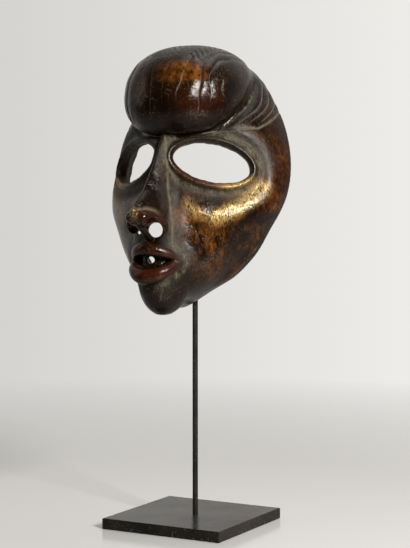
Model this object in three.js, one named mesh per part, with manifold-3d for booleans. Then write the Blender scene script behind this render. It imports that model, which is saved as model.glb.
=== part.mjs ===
// A carved wooden face mask with a roll of hair over the brow, held up by a steel rod on a steel plinth.
// Millimetres, +Z up. The face looks along -Y and the mask's own left side is +X.
import * as THREE from 'three';
import { mergeVertices } from 'three/addons/utils/BufferGeometryUtils.js';
import Module from 'manifold-3d';

const wasm = await Module();
wasm.setup();

// The plinth is a flat square plate, and its underside is z = 0.
const plinthSide = 120;
const plinthHeight = 10;
const plinthEdge = 0.8;

// The rod stands in the plinth, turns forward inside the mask and ends in a hole drilled in the wood.
const rodRadius = 2.5;
const rodSides = 12;
const rodY = 5;
const rodFoot = 2.3;
const rodBend = 11;
const rodReach = 71;
const rodPegBelowEyes = 38;
const drillGap = 0.3;
const drillDepth = 26;
const drillSides = 16;

// The mask hangs with its own origin on the middle line of the rod, level with the middle of the eyes.
// Its own sizes are counted from there, and this is how far the eyes are above the table.
const eyeHeight = 328;
const wall = 10;

// The egg outline seen from the front, and how far the face stands out in front of the back edge.
const outlineTop = 99;
const outlineBottom = 131;
const widestHeight = -12;
const halfWidth = 89;
const faceDepth = 81;
const depthLostPerMm = 0.12;

// Behind the chin the foot of the blank rises backward.
const footRise = 0.1;
const footRiseFromY = -55;
const footRiseBelow = 90;
const footRiseFullBelow = 125;

// The plane of the back edge leans back, with its foot forward. The blank ends further back.
const backAtEyes = 20.2;
const backLean = 0.287;
const blankBack = 62;

// Each eye is an oval hole in a flat that is turned outward, leaned back and dropped at its outer end.
const eyeCentre = new THREE.Vector3(40.3, -40.8, 3.1);
const eyeHalfLength = 38.7;
const eyeHalfHeight = 21.4;
const eyeTurn = THREE.MathUtils.degToRad(33.9);
const eyeLeanBack = THREE.MathUtils.degToRad(10.3);
const eyeDrop = THREE.MathUtils.degToRad(12.7);
const eyeRimRadius = 2.6;
const eyeRimSink = 0.6;
const eyeHoleInset = 4.2;
const eyeHoleFront = 12;
const eyeHoleDepth = 46;
const eyeWall = 8;

// The right eye was cut a little further out than the left one. The shift grows from the middle out.
const rightEyeShift = 1.6;
const rightEyeReach = 20;

// The roll of hair over the brow, leaned back, and the crown behind it.
// A groove runs along the foot of the roll and fades out up its ends.
const rollCentre = new THREE.Vector3(0, -10, 64.5);
const rollHalf = new THREE.Vector3(54.8, 59.5, 44.3);
const rollSquareness = 2.3;
const rollLean = 0.18;
const rollGroove = 1.6;
const rollGrooveFadesFrom = 66;
const rollGrooveFadesTo = 88;
const crownCentre = new THREE.Vector3(0, 24, 47);
const crownHalf = new THREE.Vector3(59.2, 56.5, 56.2);

// The nose is a wedge. Its ridge runs from the brow down to the tip and sweeps forward on the way.
const noseStations = [
  { z: 27, ridgeY: -56, half: 4 },
  { z: 23, ridgeY: -60, half: 6.2 },
  { z: 12, ridgeY: -66.5, half: 8 },
  { z: 0, ridgeY: -74.5, half: 10 },
  { z: -10.5, ridgeY: -82, half: 12.4 },
  { z: -21, ridgeY: -90, half: 14.8 },
  { z: -30, ridgeY: -102, half: 16 },
  { z: -38, ridgeY: -111, half: 16.7 },
  { z: -44, ridgeY: -110.5, half: 16.8 },
  { z: -48, ridgeY: -106, half: 14 },
];
const noseFootY = -50;
const noseBackY = -45;
const noseFlatness = 1.4;
const noseBaseCentre = new THREE.Vector3(0, -60, -56);
const noseBaseHalf = new THREE.Vector3(23, 17, 20);

// The wings of the nose, the pierced and scooped nostrils, and the bridge of wood between them.
const wingFront = { at: new THREE.Vector3(5.2, -101, -45), radius: 6 };
const wingBack = { at: new THREE.Vector3(12.4, -84, -52.3), radius: 7.4 };
const nostrilFront = { at: new THREE.Vector3(23, -112, -54), radius: 6.6 };
const nostrilBack = { at: new THREE.Vector3(-20, -34, -58), radius: 6.6 };
const nostrilScoopCentre = new THREE.Vector3(10.5, -95, -55);
const nostrilScoopHalf = new THREE.Vector3(5.9, 14, 11);
const septumFront = { at: new THREE.Vector3(0, -101, -49), radius: 3.8 };
const septumBack = { at: new THREE.Vector3(0, -80, -64), radius: 3.8 };

// The mouth: a swelling with two flattened lips that bend round it and a gap between the lips.
const muzzleCentre = new THREE.Vector3(0, -62, -82);
const muzzleHalf = new THREE.Vector3(25, 21, 27);
const lipBend = 20.5;
const lipBendY = -67;
const lipFlatness = 0.8;
const upperLip = { height: -71.8, cornerDrop: 10, middle: 6.2, corner: 2.8, forward: -1.5 };
const lowerLip = { height: -96.5, cornerDrop: -13.5, middle: 7, corner: 2.8, forward: 1.5 };
const lipSections = 16;
const lipGap = { height: -83.5, half: 5.2, width: 0.78, innerBend: 13.5, outerBend: 40 };

// Behind the lips the wood is scooped out, and a short slot goes through to the hollow.
const mouthScoopCentre = new THREE.Vector3(0, -62, -82);
const mouthScoopHalf = new THREE.Vector3(13, 14.5, 12);
const mouthSlotHeight = -82;
const mouthSlotHalf = new THREE.Vector2(3.8, 3);

// The pointed chin and the jaw behind it.
const chinCentre = new THREE.Vector3(0, -58, -105.5);
const chinHalf = new THREE.Vector3(18, 24, 26);
const jawFront = { at: new THREE.Vector3(0, -55, -108), radius: 17 };
const jawBack = { at: new THREE.Vector3(0, -24, -99.5), radius: 9.5 };

// Along the jaw the back edge flares out a little. It starts under the cheeks and ends above the chin.
const jawFlare = 3.8;
const jawFlareReach = 17;
const jawFlareFullWithin = 5;
const jawFlareStart = { from: 52, to: 84 };
const jawFlareEnd = { from: 98, to: 114 };

// Mixes two distances so that the shapes join, or cut, with a rounded edge.
function joinSoftly(first, second, rounding) {
  const share = THREE.MathUtils.clamp(0.5 + (0.5 * (second - first)) / rounding, 0, 1);
  return second + (first - second) * share - rounding * share * (1 - share);
}

function cutSoftly(first, second, rounding) {
  return -joinSoftly(-first, -second, rounding);
}

// A bump of height one that fades out past the given reach.
function fade(distance, reach, power = 2) {
  return Math.exp(-Math.pow(Math.abs(distance) / reach, power));
}

// The distance to an egg-shaped lump; a squareness over two fills out its corners.
function lumpDistance(point, centre, half, squareness = 2) {
  const x = Math.abs(point.x - centre.x) / half.x;
  const y = Math.abs(point.y - centre.y) / half.y;
  const z = Math.abs(point.z - centre.z) / half.z;
  const sum = x ** squareness + y ** squareness + z ** squareness;
  const size = Math.pow(sum, 1 / squareness) + 1e-9;
  const slope = Math.hypot(x / half.x, y / half.y, z / half.z) / (Math.hypot(x, y, z) + 1e-9);
  return (size - 1) / (slope + 1e-9);
}

// The distance to a round limb between two balls.
function limbDistance(point, start, end) {
  const along = end.at.clone().sub(start.at);
  const from = point.clone().sub(start.at);
  const share = THREE.MathUtils.clamp(from.dot(along) / along.lengthSq(), 0, 1);
  const radius = THREE.MathUtils.lerp(start.radius, end.radius, share);
  return from.addScaledVector(along, -share).length() - radius;
}

// A curve that is one at its start and rounds off to nothing at its end.
function roundOff(share, squareness, bluntness) {
  return Math.pow(Math.max(1 - Math.pow(Math.max(share, 0), squareness), 1e-4), bluntness);
}

function backEdgeY(height) {
  return backAtEyes + backLean * height;
}

function halfWidthAt(height) {
  const above = (height - widestHeight) / (outlineTop - widestHeight);
  const below = (widestHeight - height) / (outlineBottom + widestHeight);
  return halfWidth * (height > widestHeight ? roundOff(above, 1.8, 0.6) : roundOff(below, 1.75, 0.85));
}

function depthAt(height) {
  if (height > 0) return faceDepth * roundOff(height / outlineTop, 3.2, 0.6);
  return (faceDepth + depthLostPerMm * height) * roundOff(-height / outlineBottom, 8, 0.6);
}

// The plain blank of the face, set in from its outside by the given amount.
// Across, it is a rounded wedge at the cheeks and rounder at the brow and the chin.
function blankDistance(point, inset) {
  const riseShare = THREE.MathUtils.smoothstep(-point.z, footRiseBelow, footRiseFullBelow);
  const raised = point.z - footRise * riseShare * Math.max(point.y - footRiseFromY, 0);
  const height = THREE.MathUtils.clamp(raised, -outlineBottom, outlineTop);
  const roundness = 1.95 - 0.3 * fade(height + 15, 45);
  const width = Math.max(halfWidthAt(height) - inset, 0.5);
  const depth = Math.max(depthAt(height) - inset, 0.5);
  const across = Math.pow(Math.abs(point.x) / width, roundness);
  const forward = Math.pow(Math.max(backEdgeY(height) - point.y, 0) / depth, roundness);
  const side = (Math.pow(across + forward, 1 / roundness) - 1) * Math.min(width, depth) * 0.9;
  return Math.max(side, raised - outlineTop + inset, -outlineBottom + inset - raised);
}

// The crown behind the roll of hair, set in from its outside by the given amount.
function crownDistance(point, inset) {
  return lumpDistance(point, crownCentre, crownHalf.clone().subScalar(inset));
}

function rollDistance(point) {
  const leaned = point.clone();
  leaned.y -= rollLean * (point.z - rollCentre.z);
  return lumpDistance(leaned, rollCentre, rollHalf, rollSquareness);
}

// The eye's own frame: x along the eye to its outer end, y up the eye, z out of the face.
function eyeFrame() {
  const outward = new THREE.Vector3(
    Math.sin(eyeTurn) * Math.cos(eyeLeanBack),
    -Math.cos(eyeTurn) * Math.cos(eyeLeanBack),
    Math.sin(eyeLeanBack),
  );
  const along = new THREE.Vector3(Math.cos(eyeTurn), Math.sin(eyeTurn), 0);
  const upward = new THREE.Vector3().crossVectors(outward, along);
  const frame = new THREE.Matrix4().makeBasis(along, upward, outward);
  frame.multiply(new THREE.Matrix4().makeRotationZ(-eyeDrop));
  return frame.setPosition(eyeCentre);
}

const intoEye = eyeFrame().invert();

// Both eyes are carved alike, so every point is looked at as if it were on the mask's left.
function inEyeFrame(point) {
  const shift = rightEyeShift * THREE.MathUtils.smoothstep(-point.x, 0, rightEyeReach);
  return new THREE.Vector3(Math.abs(point.x) - shift, point.y, point.z).applyMatrix4(intoEye);
}

// How far a point in the eye's frame lies outside the eye's oval.
function ovalDistance(local) {
  const flatPoint = new THREE.Vector3(local.x, local.y, 0);
  const size = new THREE.Vector3(eyeHalfLength, eyeHalfHeight, 1);
  return lumpDistance(flatPoint, new THREE.Vector3(), size);
}

// How far the back edge of the jaw stands out at a point.
function jawFlareAt(point) {
  const toBack = (backEdgeY(point.z) - point.y) * Math.cos(Math.atan(backLean));
  const nearBack = 1 - THREE.MathUtils.smoothstep(toBack, jawFlareFullWithin, jawFlareReach);
  const started = THREE.MathUtils.smoothstep(-point.z, jawFlareStart.from, jawFlareStart.to);
  const ended = THREE.MathUtils.smoothstep(-point.z, jawFlareEnd.from, jawFlareEnd.to);
  return jawFlare * nearBack * started * (1 - ended);
}

// The outside of the carving, before anything is hollowed or pierced.
function outsideDistance(point) {
  const local = inEyeFrame(point);
  const fromOval = ovalDistance(local);
  let distance = cutSoftly(blankDistance(point, 0), local.z - 1, 9);
  distance = joinSoftly(distance, crownDistance(point, 0), 8);
  distance = joinSoftly(distance, lumpDistance(point, chinCentre, chinHalf), 10);
  distance = joinSoftly(distance, limbDistance(point, jawFront, jawBack), 10);
  distance = joinSoftly(distance, lumpDistance(point, muzzleCentre, muzzleHalf), 8);
  distance = joinSoftly(distance, lumpDistance(point, noseBaseCentre, noseBaseHalf), 8);
  distance += 2.2 * fade(fromOval - 7, 5) * fade(local.z, 25, 4);
  const underEye = THREE.MathUtils.clamp((4 - local.y) / 18, 0, 1);
  distance -= 2 * underEye * fade(fromOval - 24, 11) * fade(local.z, 30, 4);
  const fromRoll = rollDistance(point);
  const grooveShare = 1 - THREE.MathUtils.smoothstep(point.z, rollGrooveFadesFrom, rollGrooveFadesTo);
  const groove = rollGroove * grooveShare * fade(fromRoll, 5) * fade(distance, 6);
  distance = joinSoftly(distance, fromRoll, 3) + groove - jawFlareAt(point);
  return Math.max(distance, point.y - blankBack);
}

// The hollow inside the mask follows the outside one wall thickness further in, and more plainly.
function hollowDistance(point) {
  const local = inEyeFrame(point);
  const face = cutSoftly(blankDistance(point, wall), local.z + eyeWall, 9);
  return Math.max(joinSoftly(face, crownDistance(point, wall), 8), point.y - blankBack);
}

function gridLines(start, end, spacing) {
  const count = Math.round((end - start) / spacing);
  return Array.from({ length: count + 1 }, (_, i) => start + ((end - start) * i) / count);
}

// Nets the surface where the distance is nought: one point in every grid cell it passes through.
function netOf(distanceAt, xLines, yLines, zLines) {
  const lines = [xLines, yLines, zLines];
  const size = lines.map((list) => list.length);
  const indexOf = (i, j, k) => (i * size[1] + j) * size[2] + k;
  const values = new Float64Array(size[0] * size[1] * size[2]);
  const point = new THREE.Vector3();
  for (let i = 0; i < size[0]; i++)
    for (let j = 0; j < size[1]; j++)
      for (let k = 0; k < size[2]; k++)
        values[indexOf(i, j, k)] = distanceAt(point.set(xLines[i], yLines[j], zLines[k]));

  const pointOfCell = new Map();
  const positions = [];
  const addCellPoint = (i, j, k) => {
    const sum = new THREE.Vector3();
    let crossings = 0;
    for (let corner = 0; corner < 8; corner++)
      for (let axis = 0; axis < 3; axis++) {
        if ((corner >> axis) & 1) continue;
        const near = [i + (corner & 1), j + ((corner >> 1) & 1), k + ((corner >> 2) & 1)];
        const far = [...near];
        far[axis] += 1;
        const nearValue = values[indexOf(...near)];
        const farValue = values[indexOf(...far)];
        if (nearValue < 0 === farValue < 0) continue;
        const share = nearValue / (nearValue - farValue);
        const crossing = near.map((line, side) => lines[side][line]);
        crossing[axis] += share * (lines[axis][far[axis]] - crossing[axis]);
        sum.add(new THREE.Vector3(...crossing));
        crossings += 1;
      }
    if (crossings === 0) return;
    sum.divideScalar(crossings);
    pointOfCell.set(indexOf(i, j, k), positions.length / 3);
    positions.push(sum.x, sum.y, sum.z);
  };
  for (let i = 0; i < size[0] - 1; i++)
    for (let j = 0; j < size[1] - 1; j++)
      for (let k = 0; k < size[2] - 1; k++) addCellPoint(i, j, k);

  const triangles = [];
  const cornerOf = (index) => new THREE.Vector3().fromArray(positions, index * 3);
  const addQuad = (a, b, c, d) => {
    const firstIsShorter = cornerOf(a).distanceTo(cornerOf(c)) < cornerOf(b).distanceTo(cornerOf(d));
    if (firstIsShorter) triangles.push(a, b, c, a, c, d);
    else triangles.push(a, b, d, b, c, d);
  };
  for (let axis = 0; axis < 3; axis++) {
    const next = (axis + 1) % 3;
    const last = (axis + 2) % 3;
    for (let i = 0; i < size[0]; i++)
      for (let j = 0; j < size[1]; j++)
        for (let k = 0; k < size[2]; k++) {
          const near = [i, j, k];
          if (near[axis] + 1 >= size[axis] || near[next] < 1 || near[last] < 1) continue;
          const far = [...near];
          far[axis] += 1;
          const isInside = values[indexOf(...near)] < 0;
          if (isInside === values[indexOf(...far)] < 0) continue;
          const ring = [[0, 0], [1, 0], [1, 1], [0, 1]].map(([stepNext, stepLast]) => {
            const cell = [...near];
            cell[next] -= stepNext;
            cell[last] -= stepLast;
            return pointOfCell.get(indexOf(...cell));
          });
          if (isInside) addQuad(ring[0], ring[1], ring[2], ring[3]);
          else addQuad(ring[3], ring[2], ring[1], ring[0]);
        }
  }
  const geometry = new THREE.BufferGeometry();
  geometry.setAttribute('position', new THREE.Float32BufferAttribute(positions, 3));
  geometry.setIndex(triangles);
  return geometry;
}

// Makes a solid of a closed geometry. A mirrored one has its faces turned back out.
function solidOf(geometry, isMirrored = false) {
  const bare = geometry.clone();
  bare.deleteAttribute('normal');
  bare.deleteAttribute('uv');
  const merged = mergeVertices(bare, 1e-4);
  const triVerts = Uint32Array.from(merged.index.array);
  if (isMirrored) triVerts.reverse();
  const vertProperties = merged.attributes.position.array;
  return new wasm.Manifold(new wasm.Mesh({ numProp: 3, vertProperties, triVerts }));
}

function geometryOf(solid) {
  const { vertProperties, triVerts } = solid.getMesh();
  const geometry = new THREE.BufferGeometry();
  geometry.setAttribute('position', new THREE.Float32BufferAttribute(vertProperties, 3));
  geometry.setIndex([...triVerts]);
  const flat = geometry.toNonIndexed();
  flat.computeVertexNormals();
  return flat;
}

// The same geometry placed on the mask's left and, mirrored, on its right.
function bothSides(geometry, rightShift = 0) {
  const mirrored = geometry.clone().applyMatrix4(new THREE.Matrix4().makeScale(-1, 1, 1));
  mirrored.translate(-rightShift, 0, 0);
  return [solidOf(geometry), solidOf(mirrored, true)];
}

function ovalPoint(turn, inset) {
  const x = (eyeHalfLength - inset) * Math.cos(turn);
  const y = (eyeHalfHeight - inset) * Math.sin(turn);
  return new THREE.Vector2(x, y);
}

function eyeHoleGeometry() {
  const outline = [];
  const sides = 36;
  for (let i = 0; i < sides; i++) outline.push(ovalPoint((2 * Math.PI * i) / sides, eyeHoleInset));
  const shape = new THREE.Shape(outline);
  const hole = new THREE.ExtrudeGeometry(shape, { depth: eyeHoleDepth, bevelEnabled: false });
  hole.translate(0, 0, eyeHoleFront - eyeHoleDepth);
  return hole.applyMatrix4(eyeFrame());
}

// Moves a point in the eye's frame straight in or out until it lies on the face.
function settleOnFace(local) {
  const frame = eyeFrame();
  let outer = 10;
  let inner = -16;
  for (let i = 0; i < 16; i++) {
    local.z = (outer + inner) / 2;
    if (outsideDistance(local.clone().applyMatrix4(frame)) > 0) outer = local.z;
    else inner = local.z;
  }
  return local;
}

// The raised rim round an eye: a round band that follows the oval over the face.
function eyeRimGeometry() {
  const along = 28;
  const around = 6;
  const positions = [];
  const triangles = [];
  for (let i = 0; i < along; i++) {
    const turn = (2 * Math.PI * i) / along;
    const middle = ovalPoint(turn, 0.4);
    const outward = new THREE.Vector2(middle.x / eyeHalfLength ** 2, middle.y / eyeHalfHeight ** 2);
    outward.normalize();
    const height = settleOnFace(new THREE.Vector3(middle.x, middle.y, 0)).z - eyeRimSink;
    for (let j = 0; j < around; j++) {
      const angle = (2 * Math.PI * j) / around;
      const inPlane = middle.clone().addScaledVector(outward, eyeRimRadius * Math.cos(angle));
      positions.push(inPlane.x, inPlane.y, height + eyeRimRadius * Math.sin(angle));
      const a = i * around + j;
      const b = i * around + ((j + 1) % around);
      const c = ((i + 1) % along) * around + j;
      const d = ((i + 1) % along) * around + ((j + 1) % around);
      triangles.push(a, c, b, b, c, d);
    }
  }
  const geometry = new THREE.BufferGeometry();
  geometry.setAttribute('position', new THREE.Float32BufferAttribute(positions, 3));
  geometry.setIndex(triangles);
  return geometry.applyMatrix4(eyeFrame());
}

// A round peg between two points, used to drill a hole or to add a bridge of wood.
function pegGeometry(start, end, sides) {
  const length = start.at.distanceTo(end.at);
  const peg = new THREE.CylinderGeometry(end.radius, start.radius, length, sides);
  const direction = end.at.clone().sub(start.at).normalize();
  peg.applyQuaternion(new THREE.Quaternion().setFromUnitVectors(new THREE.Vector3(0, 1, 0), direction));
  const middle = start.at.clone().add(end.at).multiplyScalar(0.5);
  return peg.translate(middle.x, middle.y, middle.z);
}

// An egg-shaped ball for scooping out wood.
function lumpGeometry(centre, half) {
  const ball = new THREE.SphereGeometry(1, 14, 9);
  ball.scale(half.x, half.y, half.z);
  return ball.translate(centre.x, centre.y, centre.z);
}

// A closed skin over a row of rings. Each ring runs clockwise as seen from the end of the row.
function loftGeometry(rings) {
  const around = rings[0].length;
  const triangles = [];
  rings.forEach((_, row) => {
    if (row === 0) return;
    for (let j = 0; j < around; j++) {
      const a = (row - 1) * around + j;
      const b = (row - 1) * around + ((j + 1) % around);
      triangles.push(a, a + around, b, b, a + around, b + around);
    }
  });
  const last = (rings.length - 1) * around;
  for (let j = 1; j < around - 1; j++) {
    triangles.push(0, j, j + 1);
    triangles.push(last, last + j + 1, last + j);
  }
  const geometry = new THREE.BufferGeometry().setFromPoints(rings.flat());
  geometry.setIndex(triangles);
  return geometry;
}

// Across the nose the skin is a flattened arch from one foot over the ridge to the other.
function noseGeometry() {
  const steps = 10;
  const rings = noseStations.map(({ z, ridgeY, half }) => {
    const ring = [new THREE.Vector3(half, noseBackY, z), new THREE.Vector3(-half, noseBackY, z)];
    for (let i = 0; i <= steps; i++) {
      const angle = (Math.PI * i) / steps;
      const across = Math.pow(Math.abs(Math.cos(angle)), 2 / noseFlatness);
      const forward = Math.pow(Math.sin(angle), 2 / noseFlatness);
      const x = -Math.sign(Math.cos(angle)) * half * across;
      ring.push(new THREE.Vector3(x, noseFootY + (ridgeY - noseFootY) * forward, z));
    }
    return ring;
  });
  return loftGeometry(rings);
}

// A round limb between two balls.
function limbGeometry(start, end) {
  const around = 10;
  const steps = 4;
  const direction = end.at.clone().sub(start.at).normalize();
  const turned = new THREE.Quaternion().setFromUnitVectors(new THREE.Vector3(0, 0, 1), direction);
  const ringAt = (ball, latitude) =>
    Array.from({ length: around }, (_, j) => {
      const angle = (-2 * Math.PI * j) / around;
      const radius = ball.radius * Math.cos(latitude);
      const local = new THREE.Vector3(radius * Math.cos(angle), radius * Math.sin(angle), 0);
      local.z = ball.radius * Math.sin(latitude);
      return local.applyQuaternion(turned).add(ball.at);
    });
  const rings = [];
  for (let i = 0; i < steps; i++) rings.push(ringAt(start, -1.45 * (1 - i / (steps - 1))));
  for (let i = 0; i < steps; i++) rings.push(ringAt(end, (1.45 * i) / (steps - 1)));
  return loftGeometry(rings);
}

// A flattened band bent round the mouth, thinner and lower toward its corners.
function lipGeometry(lip) {
  const around = 8;
  const rings = [];
  for (let i = 0; i <= lipSections; i++) {
    const turn = Math.PI * (i / lipSections - 0.5);
    const share = Math.abs(turn) / (Math.PI / 2);
    const height = lip.height - lip.cornerDrop * Math.pow(share, 1.6);
    const half = THREE.MathUtils.lerp(lip.middle, lip.corner, Math.pow(share, 1.5));
    const bend = lipBend + lip.forward * Math.cos(turn);
    const ring = Array.from({ length: around }, (_, j) => {
      const angle = (2 * Math.PI * j) / around;
      const out = bend + lipFlatness * half * Math.cos(angle);
      const up = height + half * Math.sin(angle);
      return new THREE.Vector3(out * Math.sin(turn), lipBendY - out * Math.cos(turn), up);
    });
    rings.push(ring);
  }
  return loftGeometry(rings);
}

// The gap between the lips: a bent wedge that closes toward the corners of the mouth.
function lipGapGeometry() {
  const rings = [];
  for (let i = 0; i <= lipSections; i++) {
    const share = 0.97 * ((2 * i) / lipSections - 1);
    const turn = share * lipGap.width * (Math.PI / 2);
    const half = lipGap.half * (1 - share * share);
    const pointAt = (bend, up) =>
      new THREE.Vector3(bend * Math.sin(turn), lipBendY - bend * Math.cos(turn), lipGap.height + up);
    rings.push([
      pointAt(lipGap.innerBend, half),
      pointAt(lipGap.innerBend, -half),
      pointAt(lipGap.outerBend, -half),
      pointAt(lipGap.outerBend, half),
    ]);
  }
  return loftGeometry(rings);
}

function mouthSlotGeometry() {
  const outline = new THREE.Shape();
  outline.absellipse(0, 0, mouthSlotHalf.x, mouthSlotHalf.y, 0, 2 * Math.PI);
  const slot = new THREE.ExtrudeGeometry(outline, { depth: 90, bevelEnabled: false, curveSegments: 14 });
  slot.rotateX(Math.PI / 2);
  return slot.translate(0, -30, mouthSlotHeight);
}

// Everything behind the plane of the back edge.
function behindGeometry() {
  const block = new THREE.BoxGeometry(300, 100, 400);
  block.translate(0, 50, 0);
  block.rotateX(-Math.atan(backLean));
  return block.translate(0, backAtEyes, 0);
}

function maskGeometry() {
  const outside = netOf(
    outsideDistance,
    gridLines(-98, 98, 7.7),
    gridLines(-98, 72, 8),
    gridLines(-142, 118, 7.7),
  );
  const hollow = netOf(
    hollowDistance,
    gridLines(-93, 93, 13),
    gridLines(-84, 72, 11.5),
    gridLines(-135, 108, 13),
  );
  let mask = solidOf(outside);
  const added = [
    ...bothSides(eyeRimGeometry(), rightEyeShift),
    solidOf(noseGeometry()),
    ...bothSides(limbGeometry(wingFront, wingBack)),
    solidOf(lipGeometry(upperLip)),
    solidOf(lipGeometry(lowerLip)),
  ];
  for (const piece of added) mask = mask.add(piece);
  mask = mask.subtract(solidOf(hollow));
  mask = mask.subtract(solidOf(behindGeometry()));
  const cuts = [
    ...bothSides(eyeHoleGeometry(), rightEyeShift),
    ...bothSides(lumpGeometry(nostrilScoopCentre, nostrilScoopHalf)),
    ...bothSides(pegGeometry(nostrilFront, nostrilBack, 14)),
  ];
  for (const cut of cuts) mask = mask.subtract(cut);
  mask = mask.add(solidOf(pegGeometry(septumFront, septumBack, 10)));
  mask = mask.subtract(solidOf(lipGapGeometry()));
  mask = mask.subtract(solidOf(lumpGeometry(mouthScoopCentre, mouthScoopHalf)));
  mask = mask.subtract(solidOf(mouthSlotGeometry()));
  const socketEnd = new THREE.Vector3(0, -rodReach - drillGap, -rodPegBelowEyes);
  const socketStart = new THREE.Vector3(0, drillDepth - rodReach, -rodPegBelowEyes);
  const socketRadius = rodRadius + drillGap;
  const socket = pegGeometry(
    { at: socketStart, radius: socketRadius },
    { at: socketEnd, radius: socketRadius },
    drillSides,
  );
  return geometryOf(mask.subtract(solidOf(socket)));
}

// The points and directions along the middle of the rod, from its foot to its tip.
function rodStations() {
  const bendSteps = 7;
  const pegHeight = eyeHeight - rodPegBelowEyes;
  const stations = [{ y: rodY, z: rodFoot, lean: 0 }];
  for (let i = 0; i <= bendSteps; i++) {
    const lean = (Math.PI / 2) * (i / bendSteps);
    const y = rodY - rodBend * (1 - Math.cos(lean));
    const z = pegHeight - rodBend * (1 - Math.sin(lean));
    stations.push({ y, z, lean });
  }
  stations.push({ y: rodY - rodReach, z: pegHeight, lean: Math.PI / 2 });
  return stations;
}

function rodGeometry() {
  const around = rodSides;
  const stations = rodStations();
  const positions = [];
  const triangles = [];
  stations.forEach(({ y, z, lean }, row) => {
    for (let j = 0; j < around; j++) {
      const angle = (2 * Math.PI * j) / around;
      const across = rodRadius * Math.sin(angle);
      positions.push(rodRadius * Math.cos(angle), y + across * Math.cos(lean), z + across * Math.sin(lean));
      if (row === 0) continue;
      const a = (row - 1) * around + j;
      const b = (row - 1) * around + ((j + 1) % around);
      triangles.push(a, b, a + around, b, b + around, a + around);
    }
  });
  const lastRow = (stations.length - 1) * around;
  for (let j = 1; j < around - 1; j++) {
    triangles.push(0, j + 1, j);
    triangles.push(lastRow, lastRow + j, lastRow + j + 1);
  }
  const geometry = new THREE.BufferGeometry();
  geometry.setAttribute('position', new THREE.Float32BufferAttribute(positions, 3));
  geometry.setIndex(triangles);
  const flat = geometry.toNonIndexed();
  flat.computeVertexNormals();
  return flat;
}

// The plate has its edges taken off and a drilled seat for the rod.
function plinthGeometry() {
  const half = plinthSide / 2 - plinthEdge;
  const square = new THREE.Shape();
  square.moveTo(-half, -half);
  square.lineTo(half, -half);
  square.lineTo(half, half);
  square.lineTo(-half, half);
  const plate = new THREE.ExtrudeGeometry(square, {
    depth: plinthHeight - 2 * plinthEdge,
    bevelEnabled: true,
    bevelSize: plinthEdge,
    bevelThickness: plinthEdge,
    bevelSegments: 1,
  });
  plate.translate(0, 0, plinthEdge);
  const seatRadius = rodRadius + drillGap;
  const seatBottom = new THREE.Vector3(0, rodY, rodFoot - drillGap);
  const seatTop = new THREE.Vector3(0, rodY, plinthHeight + 5);
  const seat = pegGeometry(
    { at: seatBottom, radius: seatRadius },
    { at: seatTop, radius: seatRadius },
    drillSides,
  );
  return geometryOf(solidOf(plate).subtract(solidOf(seat)));
}

function woodMaterial() {
  return new THREE.MeshStandardMaterial({ name: 'polished_wood', color: 0x3a2415, roughness: 0.32 });
}

function rodMaterial() {
  const look = { name: 'rod_steel', color: 0x2a2927, roughness: 0.45, metalness: 0.6 };
  return new THREE.MeshStandardMaterial(look);
}

function plinthMaterial() {
  const look = { name: 'plinth_steel', color: 0x4b4946, roughness: 0.5, metalness: 0.5 };
  return new THREE.MeshStandardMaterial(look);
}

function namedMesh(name, geometry, material) {
  const mesh = new THREE.Mesh(geometry, material);
  mesh.name = name;
  return mesh;
}

const maskOnStand = new THREE.Group();
maskOnStand.name = 'mask_on_stand';

const mask = namedMesh('mask', maskGeometry(), woodMaterial());
mask.position.set(0, rodY, eyeHeight);
maskOnStand.add(mask);

const stand = new THREE.Group();
stand.name = 'stand';
stand.add(namedMesh('rod', rodGeometry(), rodMaterial()));
stand.add(namedMesh('plinth', plinthGeometry(), plinthMaterial()));
maskOnStand.add(stand);

export default maskOnStand;
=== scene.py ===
import math
from types import SimpleNamespace

import bpy
import numpy as np
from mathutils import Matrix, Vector


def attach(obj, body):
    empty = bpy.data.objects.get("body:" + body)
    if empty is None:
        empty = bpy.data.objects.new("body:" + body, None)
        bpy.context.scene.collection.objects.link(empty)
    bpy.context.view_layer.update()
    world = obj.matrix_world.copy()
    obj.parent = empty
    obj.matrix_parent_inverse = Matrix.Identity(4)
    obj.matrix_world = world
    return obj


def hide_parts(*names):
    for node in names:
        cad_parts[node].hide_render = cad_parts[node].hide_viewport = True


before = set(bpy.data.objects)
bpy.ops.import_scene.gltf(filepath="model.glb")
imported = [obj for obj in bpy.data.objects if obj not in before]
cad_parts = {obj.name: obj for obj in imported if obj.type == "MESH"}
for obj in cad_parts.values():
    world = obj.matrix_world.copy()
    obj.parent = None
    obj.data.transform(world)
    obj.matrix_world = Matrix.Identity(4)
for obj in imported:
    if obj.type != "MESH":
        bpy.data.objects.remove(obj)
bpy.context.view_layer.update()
print("frame loaded:", sorted(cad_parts))

millimetre = 0.001

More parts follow.
